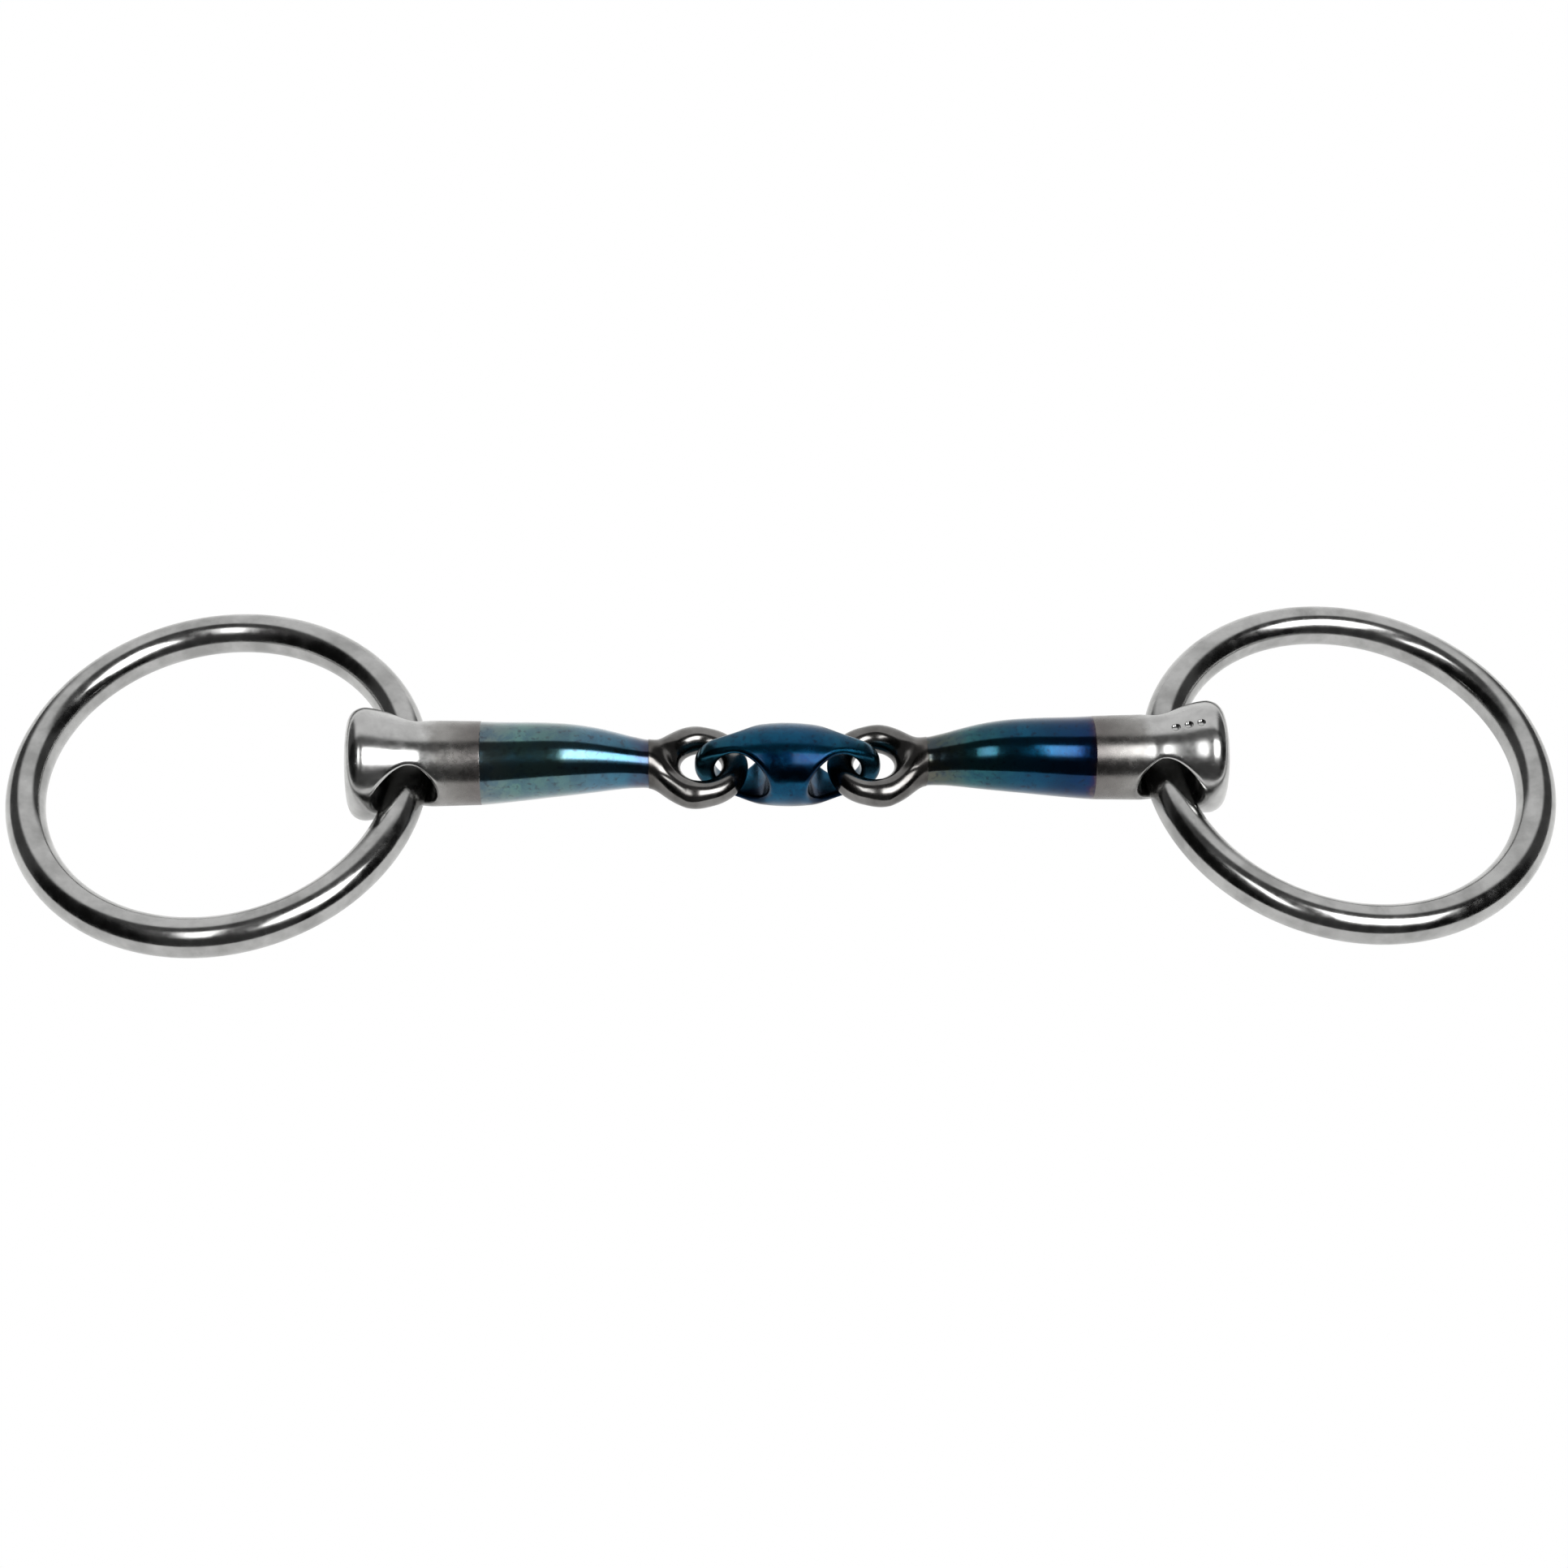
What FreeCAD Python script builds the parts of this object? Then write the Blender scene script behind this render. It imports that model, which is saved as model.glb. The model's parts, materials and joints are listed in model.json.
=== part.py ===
"""Loose ring snaffle bit with a double-jointed mouthpiece, in millimetres.

Two loose rings run through bored, flared barrels. Each barrel, a tapered sweet iron sleeve and a forged
eye make one arm of the mouthpiece, held together by the eye's stem. The two eyes hang on the upright end
bars of an olive-shaped lozenge link.

Frame: +X runs along the mouthpiece to the right, +Y along the ring bores, +Z up. The origin is on the
surface that the bit lies on, under the middle of the lozenge link.
"""

import FreeCAD, Part

import math
import os

# Rings
RING_OUTER_DIA = 75.0
RING_WIRE_DIA = 7.0
RING_DROP_IN_BORE = 1.6  # the wire hangs this far below the bore's centre
RING_SLACK_IN_BORE = 0.4  # and stands this far towards the middle of the bit

# Barrels: turned parts that flare towards the rings
ARM_AXIS_Z = 10.0
SEAM_X = 54.0  # where the stainless barrel meets the sweet iron sleeve
SEAM_RADIUS = 7.4
BARREL_TAPER = 0.02  # growth of the radius per mm of length
FLARE_START_X = 64.0
FLARE_END_X = 75.0
FLARE_HEIGHT = 2.18
BARREL_END_X = 77.5
FLARE_STEPS = 10
BORE_X = 67.2
BORE_RADIUS = 5.5
BORE_EDGE_ROUND = 0.5

# Sleeves and necks: one smooth tapered loft, slightly arched along its length
NECK_SEAM_X = 24.6  # where the sweet iron sleeve meets the eye's neck
ARCH_RISE = 0.95
LOFT_START_X = 18.0
LOFT_STEP = 3.0
# Half width (Y) and half height (Z) of the loft's sections, from the shoulder of the eye outwards
SHOULDER_SECTIONS = [(7.0, 2.25), (5.7, 3.3)]
SLEEVE_RADII = [4.4, 4.55, 5.05, 5.6, 6.05, 6.4, 6.65, 6.87, 7.05, 7.22, SEAM_RADIUS]

# Eyes and their stems
EYE_X = 15.35
EYE_Z = 8.2
EYE_RADIUS = 6.0  # of the eye's centre line
EYE_WIRE_RADIUS = 2.35
STEM_RADIUS = 3.0
STEM_START_X = 22.0
STEM_END_X = 59.4
SOCKET_END_X = 59.8
BRAZE_GAP = 0.05  # all round the stem, in the sleeve and in the barrel's socket

# Lozenge link: an olive of revolution, trimmed to a pointed outline seen from above, with two
# windows along Y
LINK_Z = 8.8
LINK_TILT_DEG = 1.5  # its left end lies a little higher
LINK_ROLL_DEG = 8.0  # its top leans to the back, as it lies in the eyes
LINK_HALF_LENGTH = 16.5
LINK_RADIUS = 7.4
LINK_SIDE_ARC = 36.0  # radius of the long arc of the olive's side
WINDOW_X = 8.25
WINDOW_RADIUS = 4.9
TIP_HALF_WIDTH = 1.5
# Half width of the pointed outline at stations from near the tip to the middle
OUTLINE_STATIONS = [
    (12.4, 1.75),
    (9.9, 2.2),
    (7.6, 3.35),
    (5.6, 4.9),
    (3.6, 6.9),
    (0.0, 9.5),
]

# Size mark: punched dots on top of the right barrel
DOT_COUNT = 3
DOT_RADIUS = 0.75
DOT_DEPTH = 0.3
DOT_PITCH = 2.2
DOT_FIRST_X = 67.8

REACH = 60.0  # longer than any cut that has to pass right through
ELLIPSE_MARGIN = 0.00001  # a round section is an ellipse that is wider than high by this much

V = FreeCAD.Vector
RING_WIRE_RADIUS = RING_WIRE_DIA / 2
RING_RADIUS = RING_OUTER_DIA / 2 - RING_WIRE_RADIUS


def axis_height(x):
    """Height of the arm's centre line at x: level at the barrel, arched, and dropping to the eye."""
    t = (x - LOFT_START_X) / (SEAM_X - LOFT_START_X)
    arch = 16 * t**2 * (1 - t) ** 2
    return ARM_AXIS_Z + ARCH_RISE * arch - (ARM_AXIS_Z - EYE_Z) * (1 - t) ** 3


def barrel_radius(x):
    """Radius of the barrel at x: a slight taper and a smooth flare."""
    t = min(max((x - FLARE_START_X) / (FLARE_END_X - FLARE_START_X), 0.0), 1.0)
    return SEAM_RADIUS + BARREL_TAPER * (x - SEAM_X) + FLARE_HEIGHT * t * t * (3 - 2 * t)


def section(x, half_width, half_height):
    """A closed elliptical wire across the arm at x."""
    centre = V(x, 0, axis_height(x))
    height = min(half_height, half_width - ELLIPSE_MARGIN)
    ellipse = Part.Ellipse(centre + V(0, half_width, 0), centre + V(0, 0, height), centre)
    return Part.Wire([ellipse.toShape()])


def arm_blank():
    """The neck and sleeve in one, as a smooth loft."""
    sizes = SHOULDER_SECTIONS + [(radius, radius) for radius in SLEEVE_RADII]
    wires = [section(LOFT_START_X + i * LOFT_STEP, *size) for i, size in enumerate(sizes)]
    return Part.makeLoft(wires, True, False)


def block(x_low, x_high):
    """A box across the whole arm between two x positions."""
    return Part.makeBox(x_high - x_low, REACH, REACH, V(x_low, -REACH / 2, -REACH / 2))


def stem(radius, end_x):
    """The straight round stem, from inside the neck to end_x."""
    start = V(STEM_START_X, 0, axis_height(STEM_START_X))
    end = V(end_x, 0, ARM_AXIS_Z)
    return Part.makeCylinder(radius, (end - start).Length, start, end - start)


def eye(blank):
    """The eye: a round ring, its neck and its stem."""
    centre = V(EYE_X, 0, EYE_Z)
    up = V(0, 0, 1)
    ring = Part.makeTorus(EYE_RADIUS, EYE_WIRE_RADIUS, centre, up)
    room = Part.makeCylinder(EYE_RADIUS, REACH, centre - up * REACH / 2, up)
    neck = blank.common(block(0.0, NECK_SEAM_X)).cut(room)
    return ring.fuse(neck).fuse(stem(STEM_RADIUS, STEM_END_X)).removeSplitter()


def turned_barrel():
    """The barrel before drilling: its flared side and rounded end turned about the arm's axis."""
    step = (FLARE_END_X - SEAM_X) / FLARE_STEPS
    stations = [SEAM_X + i * step for i in range(FLARE_STEPS + 1)]
    side = Part.BSplineCurve()
    side.interpolate([V(x, 0, barrel_radius(x)) for x in stations])
    rim = V(FLARE_END_X, 0, barrel_radius(FLARE_END_X))
    round_end = BARREL_END_X - FLARE_END_X
    knee = rim + V(round_end * math.sin(math.pi / 4), 0, -round_end * (1 - math.cos(math.pi / 4)))
    corner = rim + V(round_end, 0, -round_end)
    outline = [
        Part.makeLine(V(SEAM_X, 0, 0), V(SEAM_X, 0, SEAM_RADIUS)),
        side.toShape(),
        Part.Arc(rim, knee, corner).toShape(),
        Part.makeLine(corner, V(BARREL_END_X, 0, 0)),
        Part.makeLine(V(BARREL_END_X, 0, 0), V(SEAM_X, 0, 0)),
    ]
    turned = Part.Face(Part.Wire(outline)).revolve(V(0, 0, 0), V(1, 0, 0), 360)
    turned.translate(V(0, 0, ARM_AXIS_Z))
    return turned


def on_bore_mouth(edge):
    """True for an edge that runs round a mouth of the bore."""
    points = edge.discretize(9)
    radii = [math.hypot(p.x - BORE_X, p.z - ARM_AXIS_Z) for p in points]
    spread = max(p.x for p in points) - min(p.x for p in points)
    return max(abs(r - BORE_RADIUS) for r in radii) < 0.01 and spread > BORE_RADIUS


def barrel():
    """The barrel with its ring bore along Y, the bore's mouths rounded, and its blind stem socket."""
    drill = Part.makeCylinder(BORE_RADIUS, REACH, V(BORE_X, -REACH / 2, ARM_AXIS_Z), V(0, 1, 0))
    bored = turned_barrel().cut(drill)
    mouths = [edge for edge in bored.Edges if on_bore_mouth(edge)]
    return bored.makeFillet(BORE_EDGE_ROUND, mouths).cut(stem(STEM_RADIUS + BRAZE_GAP, SOCKET_END_X))


def dotted(solid):
    """The solid with a row of shallow round punch marks along its top."""
    ball_radius = (DOT_RADIUS**2 + DOT_DEPTH**2) / (2 * DOT_DEPTH)
    for i in range(DOT_COUNT):
        x = DOT_FIRST_X + i * DOT_PITCH
        height = ARM_AXIS_Z + barrel_radius(x) + ball_radius - DOT_DEPTH
        solid = solid.cut(Part.makeSphere(ball_radius, V(x, 0, height)))
    return solid


def loose_ring():
    """A round wire ring through the right barrel, its far side resting on the surface."""
    near = V(BORE_X - RING_SLACK_IN_BORE, 0, ARM_AXIS_Z - RING_DROP_IN_BORE)
    tilt = math.asin((near.z - RING_WIRE_RADIUS) / (2 * RING_RADIUS))
    outward = V(math.cos(tilt), 0, -math.sin(tilt))
    normal = V(math.sin(tilt), 0, math.cos(tilt))
    return Part.makeTorus(RING_RADIUS, RING_WIRE_RADIUS, near + outward * RING_RADIUS, normal)


def olive():
    """The olive: a long arc with a tangent round tip at each end, turned about X."""
    drop = LINK_SIDE_ARC - LINK_RADIUS
    spare = LINK_SIDE_ARC - LINK_HALF_LENGTH
    tip_radius = (LINK_SIDE_ARC**2 - drop**2 - LINK_HALF_LENGTH**2) / (2 * spare)
    tip_centre = LINK_HALF_LENGTH - tip_radius
    turn = math.atan2(tip_centre, drop)
    join = V(LINK_SIDE_ARC * math.sin(turn), 0, LINK_SIDE_ARC * math.cos(turn) - drop)
    middle = turn / 2 + math.pi / 4
    on_tip = V(tip_centre + tip_radius * math.sin(middle), 0, tip_radius * math.cos(middle))
    tip = V(LINK_HALF_LENGTH, 0, 0)
    left_tip, left_on_tip, left_join = [V(-p.x, 0, p.z) for p in (tip, on_tip, join)]
    arcs = [
        Part.Arc(left_tip, left_on_tip, left_join),
        Part.Arc(left_join, V(0, 0, LINK_RADIUS), join),
        Part.Arc(join, on_tip, tip),
    ]
    edges = [arc.toShape() for arc in arcs] + [Part.makeLine(tip, left_tip)]
    return Part.Face(Part.Wire(edges)).revolve(V(0, 0, 0), V(1, 0, 0), 360)


def pointed_outline():
    """The outline that the lozenge is trimmed to, seen from above, as an upright prism."""
    tip_x = LINK_HALF_LENGTH - TIP_HALF_WIDTH
    right = [V(tip_x, TIP_HALF_WIDTH, 0)] + [V(x, half_width, 0) for x, half_width in OUTLINE_STATIONS]
    back = right + [V(-p.x, p.y, 0) for p in reversed(right[:-1])]
    front = [V(p.x, -p.y, 0) for p in reversed(back)]
    back_curve = Part.BSplineCurve()
    back_curve.interpolate(back)
    front_curve = Part.BSplineCurve()
    front_curve.interpolate(front)
    left_tip = Part.Arc(back[-1], V(-LINK_HALF_LENGTH, 0, 0), front[0])
    right_tip = Part.Arc(front[-1], V(LINK_HALF_LENGTH, 0, 0), back[0])
    wire = Part.Wire([curve.toShape() for curve in (back_curve, left_tip, front_curve, right_tip)])
    prism = Part.Face(wire).extrude(V(0, 0, REACH))
    prism.translate(V(0, 0, -REACH / 2))
    return prism


def lozenge():
    """The lozenge link: the trimmed olive with its two windows."""
    body = olive().common(pointed_outline())
    for x in (-WINDOW_X, WINDOW_X):
        body = body.cut(Part.makeCylinder(WINDOW_RADIUS, REACH, V(x, -REACH / 2, 0), V(0, 1, 0)))
    body.rotate(V(0, 0, 0), V(0, 1, 0), LINK_TILT_DEG)
    body.rotate(V(0, 0, 0), V(-1, 0, 0), LINK_ROLL_DEG)
    body.translate(V(0, 0, LINK_Z))
    return body


def mirrored(shape):
    """The same shape for the left arm."""
    return shape.mirror(V(0, 0, 0), V(1, 0, 0))


def single(shape):
    """The one solid that a boolean's result holds."""
    return shape.Solids[0]


def write(name, shape):
    """Writes one node and prints what it holds."""
    solid = single(shape)
    print(f"{name:14s} solids={len(shape.Solids)} valid={solid.isValid()} "
          f"volume={solid.Volume / 1000:.3f} cm3 z={solid.BoundBox.ZMin:.2f}..{solid.BoundBox.ZMax:.2f}")
    solid.exportStep(f"parts/{name}.step")


def main():
    os.makedirs("parts", exist_ok=True)
    blank = arm_blank()
    sleeve = blank.common(block(NECK_SEAM_X, SEAM_X)).cut(stem(STEM_RADIUS + BRAZE_GAP, SOCKET_END_X))
    plain_barrel = barrel()
    eye_and_stem = eye(blank)
    write("right_ring", loose_ring())
    write("left_ring", mirrored(loose_ring()))
    write("right_barrel", dotted(plain_barrel))
    write("left_barrel", mirrored(plain_barrel))
    write("right_sleeve", sleeve)
    write("left_sleeve", mirrored(sleeve))
    write("right_eye", eye_and_stem)
    write("left_eye", mirrored(eye_and_stem))
    write("lozenge_link", lozenge())


main()
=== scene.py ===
"""Looks for a loose ring snaffle bit: polished stainless rings and barrels, flame-blued sweet iron sleeves
and lozenge link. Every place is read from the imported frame; shapes are worked out in millimetres and put
into metres when they become meshes.
"""

import json
import logging
import math
from dataclasses import dataclass
from enum import Enum
from functools import lru_cache
from typing import Callable

import bmesh
import bpy
import numpy as np
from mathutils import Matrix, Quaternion, Vector


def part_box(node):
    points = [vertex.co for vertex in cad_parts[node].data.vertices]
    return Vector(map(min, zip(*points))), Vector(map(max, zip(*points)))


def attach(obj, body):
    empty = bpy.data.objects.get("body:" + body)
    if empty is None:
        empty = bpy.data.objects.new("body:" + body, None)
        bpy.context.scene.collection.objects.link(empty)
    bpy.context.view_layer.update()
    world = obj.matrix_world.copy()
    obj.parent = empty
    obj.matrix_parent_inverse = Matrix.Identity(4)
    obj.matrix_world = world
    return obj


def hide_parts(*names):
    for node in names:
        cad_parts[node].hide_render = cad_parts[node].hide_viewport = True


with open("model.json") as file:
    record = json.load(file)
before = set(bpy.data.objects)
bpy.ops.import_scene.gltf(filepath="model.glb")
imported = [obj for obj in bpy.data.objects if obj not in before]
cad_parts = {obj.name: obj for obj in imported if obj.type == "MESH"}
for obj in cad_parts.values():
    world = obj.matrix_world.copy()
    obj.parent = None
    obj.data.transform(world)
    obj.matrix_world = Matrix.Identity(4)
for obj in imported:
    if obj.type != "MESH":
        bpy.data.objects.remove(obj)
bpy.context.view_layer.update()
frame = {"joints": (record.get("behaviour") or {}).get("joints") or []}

MM = 0.001
NET_MARGIN = 0.6  # a net's grid reaches this far past the node's box, in millimetres
SHARP_ANGLE = 50.0  # edges that turn by more than this many degrees look crisp
NOISE, RANGE, RAMP = "ShaderNodeTexNoise", "ShaderNodeMapRange", "ShaderNodeValToRGB"
MIX, MATH, SPLIT = "ShaderNodeMix", "ShaderNodeMath", "ShaderNodeSeparateXYZ"

log = logging.getLogger("snaffle")

Field = Callable[[np.ndarray], np.ndarray]
Socket = bpy.types.NodeSocket
Tree = bpy.types.NodeTree
Piece = bpy.types.Object


class Side(Enum):
    """The two arms of the bit, by the sign of their x."""

    LEFT = -1
    RIGHT = 1

    @property
    def word(self) -> str:
        """The side's name as the frame's nodes and bodies use it."""
        return self.name.lower()


# ---------------------------------------------------------------- frame and numbers


def joint_point(name: str) -> np.ndarray:
    """The point on a joint's axis, in millimetres.

    Args:
        name: The joint's name in the frame.

    Returns:
        Its x, y and z.
    """
    joint = next(j for j in frame["joints"] if j["name"] == name)
    return np.array(joint["pos_m"]) / MM


@lru_cache(maxsize=None)
def node_box(node: str) -> tuple[np.ndarray, np.ndarray]:
    """A node's lowest and highest corner, in millimetres.

    Args:
        node: The node's name in the frame.

    Returns:
        The two corners.
    """
    low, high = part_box(node)
    return np.array(low) / MM, np.array(high) / MM


def smooth_step(t: np.ndarray) -> np.ndarray:
    """0 below 0, 1 above 1, and 3t^2 - 2t^3 between."""
    t = np.clip(t, 0.0, 1.0)
    return t * t * (3.0 - 2.0 * t)


def smooth_min(a: np.ndarray, b: np.ndarray, blend: float) -> np.ndarray:
    """The smaller of two distances, rounded where they are within blend of each other.

    Formula: min(a, b) - h^2 * blend / 4, where h is how far within the blend they are, from 0 to 1.

    Args:
        a: One distance field's values.
        b: The other's.
        blend: Size of the rounding, in millimetres.

    Returns:
        The joined field's values.
    """
    near = np.maximum(blend - np.abs(a - b), 0.0) / blend
    return np.minimum(a, b) - near * near * blend / 4.0


def smooth_max(a: np.ndarray, b: np.ndarray, blend: float) -> np.ndarray:
    """The larger of two distances with a rounded edge: smooth_min turned inside out."""
    return -smooth_min(-a, -b, blend)


def through_points(values: np.ndarray, start: float, step: float, x: np.ndarray) -> np.ndarray:
    """A smooth curve through evenly spaced values (Catmull-Rom).

    Formula: between two values, the cubic that meets both with the slope of each one's neighbours.

    Args:
        values: The values, one per station.
        start: Position of the first station.
        step: Spacing of the stations.
        x: Positions to read the curve at.

    Returns:
        The curve's value at each position.
    """
    place = np.clip((x - start) / step, 0.0, len(values) - 1.001)
    i = place.astype(int)
    t = place - i
    padded = np.concatenate([[2 * values[0] - values[1]], values, [2 * values[-1] - values[-2]]])
    before, here, there, after = padded[i], padded[i + 1], padded[i + 2], padded[i + 3]
    slope_here = (there - before) / 2
    slope_there = (after - here) / 2
    swing = 3 * (there - here) - 2 * slope_here - slope_there
    ease = 2 * (here - there) + slope_here + slope_there
    return here + t * (slope_here + t * (swing + t * ease))


# ---------------------------------------------------------------- meshes


def mesh_piece(name: str, points: np.ndarray, quads: np.ndarray, normals: np.ndarray | None = None) -> Piece:
    """A smooth-shaded mesh object at the origin.

    Args:
        name: The piece's name.
        points: Vertices in millimetres, shape (n, 3).
        quads: Vertex numbers of the faces, shape (m, 4), counterclockwise from outside.
        normals: Exact outward normals at the vertices, or None to have them averaged.

    Returns:
        The new object.
    """
    mesh = bpy.data.meshes.new(name)
    mesh.vertices.add(len(points))
    mesh.vertices.foreach_set("co", (points * MM).astype(np.float32).ravel())
    mesh.loops.add(quads.size)
    mesh.loops.foreach_set("vertex_index", quads.astype(np.int32).ravel())
    mesh.polygons.add(len(quads))
    mesh.polygons.foreach_set("loop_start", np.arange(0, quads.size, 4, dtype=np.int32))
    mesh.update(calc_edges=True)
    mesh.validate()
    mesh.shade_smooth()
    if normals is not None:
        mesh.normals_split_custom_set_from_vertices(normals.astype(np.float32))
    piece = bpy.data.objects.new(name, mesh)
    bpy.context.scene.collection.objects.link(piece)
    return piece


def closed_grid_quads(rows: int, columns: int) -> np.ndarray:
    """Faces of a grid whose rows and columns both close on themselves, as on a torus.

    Args:
        rows: Number of points along the first parameter.
        columns: Number of points along the second.

    Returns:
        Vertex numbers, shape (rows * columns, 4).
    """
    i, j = np.meshgrid(np.arange(rows), np.arange(columns), indexing="ij")
    i_next = (i + 1) % rows
    j_next = (j + 1) % columns
    corners = [i * columns + j, i_next * columns + j, i_next * columns + j_next, i * columns + j_next]
    return np.stack(corners, axis=-1).reshape(-1, 4)


def net_faces(inside: np.ndarray, index: np.ndarray) -> np.ndarray:
    """One face across each grid edge that the surface crosses, joining the four cells round that edge.

    Args:
        inside: True at the grid points inside the solid.
        index: Vertex number of each cell, shape one less than inside each way.

    Returns:
        Vertex numbers, shape (m, 4), counterclockwise from outside.
    """
    faces = []
    for axis in range(3):
        order = (axis, (axis + 1) % 3, (axis + 2) % 3)
        solid = inside.transpose(order)
        cells = index.transpose(order)
        start, end = solid[:-1, 1:-1, 1:-1], solid[1:, 1:-1, 1:-1]
        around = [cells[:, :-1, :-1], cells[:, 1:, :-1], cells[:, 1:, 1:], cells[:, :-1, 1:]]
        ring = np.stack(around, axis=-1)
        faces.append(ring[start & ~end])
        faces.append(ring[~start & end][:, ::-1])
    return np.concatenate(faces)


def gradient(shape: Field, points: np.ndarray) -> np.ndarray:
    """Slope of a distance field at points, by central differences over a hundredth of a millimetre.

    Args:
        shape: The distance field.
        points: Places in millimetres, shape (n, 3).

    Returns:
        The slope at each, shape (n, 3).
    """
    reach = 0.01
    slopes = []
    for axis in range(3):
        offset = np.zeros(3)
        offset[axis] = reach
        slopes.append((shape(points + offset) - shape(points - offset)) / (2 * reach))
    return np.stack(slopes, axis=-1)


def settle(shape: Field, points: np.ndarray, rounds: int = 3) -> np.ndarray:
    """Moves points onto a field's zero surface by Newton's rule: back along the slope by value / slope.

    Args:
        shape: The distance field.
        points: Places in millimetres, shape (n, 3).
        rounds: How many times the rule is used.

    Returns:
        The moved points.
    """
    for _ in range(rounds):
        slope = gradient(shape, points)
        steepness = np.maximum((slope * slope).sum(-1), 1e-6)
        points = points - slope * (shape(points) / steepness)[:, None]
    return points


def relaxed(points: np.ndarray, quads: np.ndarray) -> np.ndarray:
    """Each point moved to the mean of the neighbours it shares an edge with.

    Args:
        points: The net's points, shape (n, 3).
        quads: Its faces, shape (m, 4).

    Returns:
        The moved points.
    """
    a = quads.ravel()
    b = np.roll(quads, -1, axis=1).ravel()
    total = np.zeros_like(points)
    for axis in range(3):
        total[:, axis] += np.bincount(a, points[b, axis], len(points))
        total[:, axis] += np.bincount(b, points[a, axis], len(points))
    count = np.bincount(a, minlength=len(points)) + np.bincount(b, minlength=len(points))
    return total / count[:, None]


def solid_piece(name: str, shape: Field, low: np.ndarray, high: np.ndarray, step: float) -> Piece:
    """A mesh of the surface where a distance field is zero, with exact normals.

    The field is read on a grid, a net of faces is laid across the grid edges that change sign, and the
    net's points are evened out and moved onto the surface.

    Args:
        name: The piece's name.
        shape: Distance to the surface in millimetres, negative inside.
        low: Lowest corner of the piece, in millimetres; the grid reaches a little past it.
        high: Highest corner.
        step: Grid spacing.

    Returns:
        The new object.
    """
    step *= 1.0
    axes = [np.arange(low[k] - NET_MARGIN, high[k] + NET_MARGIN + step, step) for k in range(3)]
    grid = np.stack(np.meshgrid(*axes, indexing="ij"), axis=-1)
    inside = shape(grid.reshape(-1, 3)).reshape(grid.shape[:3]) < 0.0
    cuts = (slice(None, -1), slice(1, None))
    eight = ((a, b, c) for a in cuts for b in cuts for c in cuts)
    corners = sum(inside[corner].astype(np.int8) for corner in eight)
    crossed = (corners > 0) & (corners < 8)
    index = np.full(crossed.shape, -1, dtype=np.int64)
    index[crossed] = np.arange(crossed.sum())
    points = grid[:-1, :-1, :-1][crossed] + step / 2
    quads = net_faces(inside, index)
    points = settle(shape, points)
    for _ in range(3):
        points = settle(shape, relaxed(points, quads), 2)
    normals = gradient(shape, points)
    normals /= np.linalg.norm(normals, axis=-1, keepdims=True)
    return mesh_piece(name, points, quads, normals)


# ---------------------------------------------------------------- the sub-assemblies


@dataclass(frozen=True)
class LooseRing:
    """A ring of round stainless wire, welded shut and polished, lying flat through its barrel."""

    side: Side
    wire_diameter: float = 7.0
    rounds: int = 384
    wire_points: int = 72

    def build(self) -> Piece:
        """The ring's torus: a circle of wire carried round a tilted circle.

        Formula: centre + R * (cos u * outward + sin u * across) + r * (cos v * away from the centre +
        sin v * normal), where the tilt comes from how much higher the ring's box is than its wire.

        Returns:
            The new piece.
        """
        low, high = node_box(f"{self.side.word}_ring")
        wire = self.wire_diameter / 2
        radius = (high[1] - low[1]) / 2 - wire
        tilt = math.asin((high[2] - low[2] - 2 * wire) / (2 * radius))
        outward = np.array([self.side.value * math.cos(tilt), 0.0, -math.sin(tilt)])
        across = np.array([0.0, 1.0, 0.0])
        normal = np.array([self.side.value * math.sin(tilt), 0.0, math.cos(tilt)])
        u = np.linspace(0, 2 * math.pi, self.rounds, endpoint=False)[:, None, None]
        v = np.linspace(0, 2 * math.pi, self.wire_points, endpoint=False)[None, :, None]
        spoke = np.cos(u) * outward + np.sin(u) * across
        around = np.cos(v) * spoke + np.sin(v) * normal
        points = (low + high) / 2 + radius * spoke + wire * around
        quads = closed_grid_quads(self.rounds, self.wire_points)
        if self.side is Side.LEFT:
            quads = quads[:, ::-1]
        normals = np.broadcast_to(around, points.shape).reshape(-1, 3)
        return mesh_piece(f"{self.side.word}_ring_wire", points.reshape(-1, 3), quads, normals)


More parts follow.
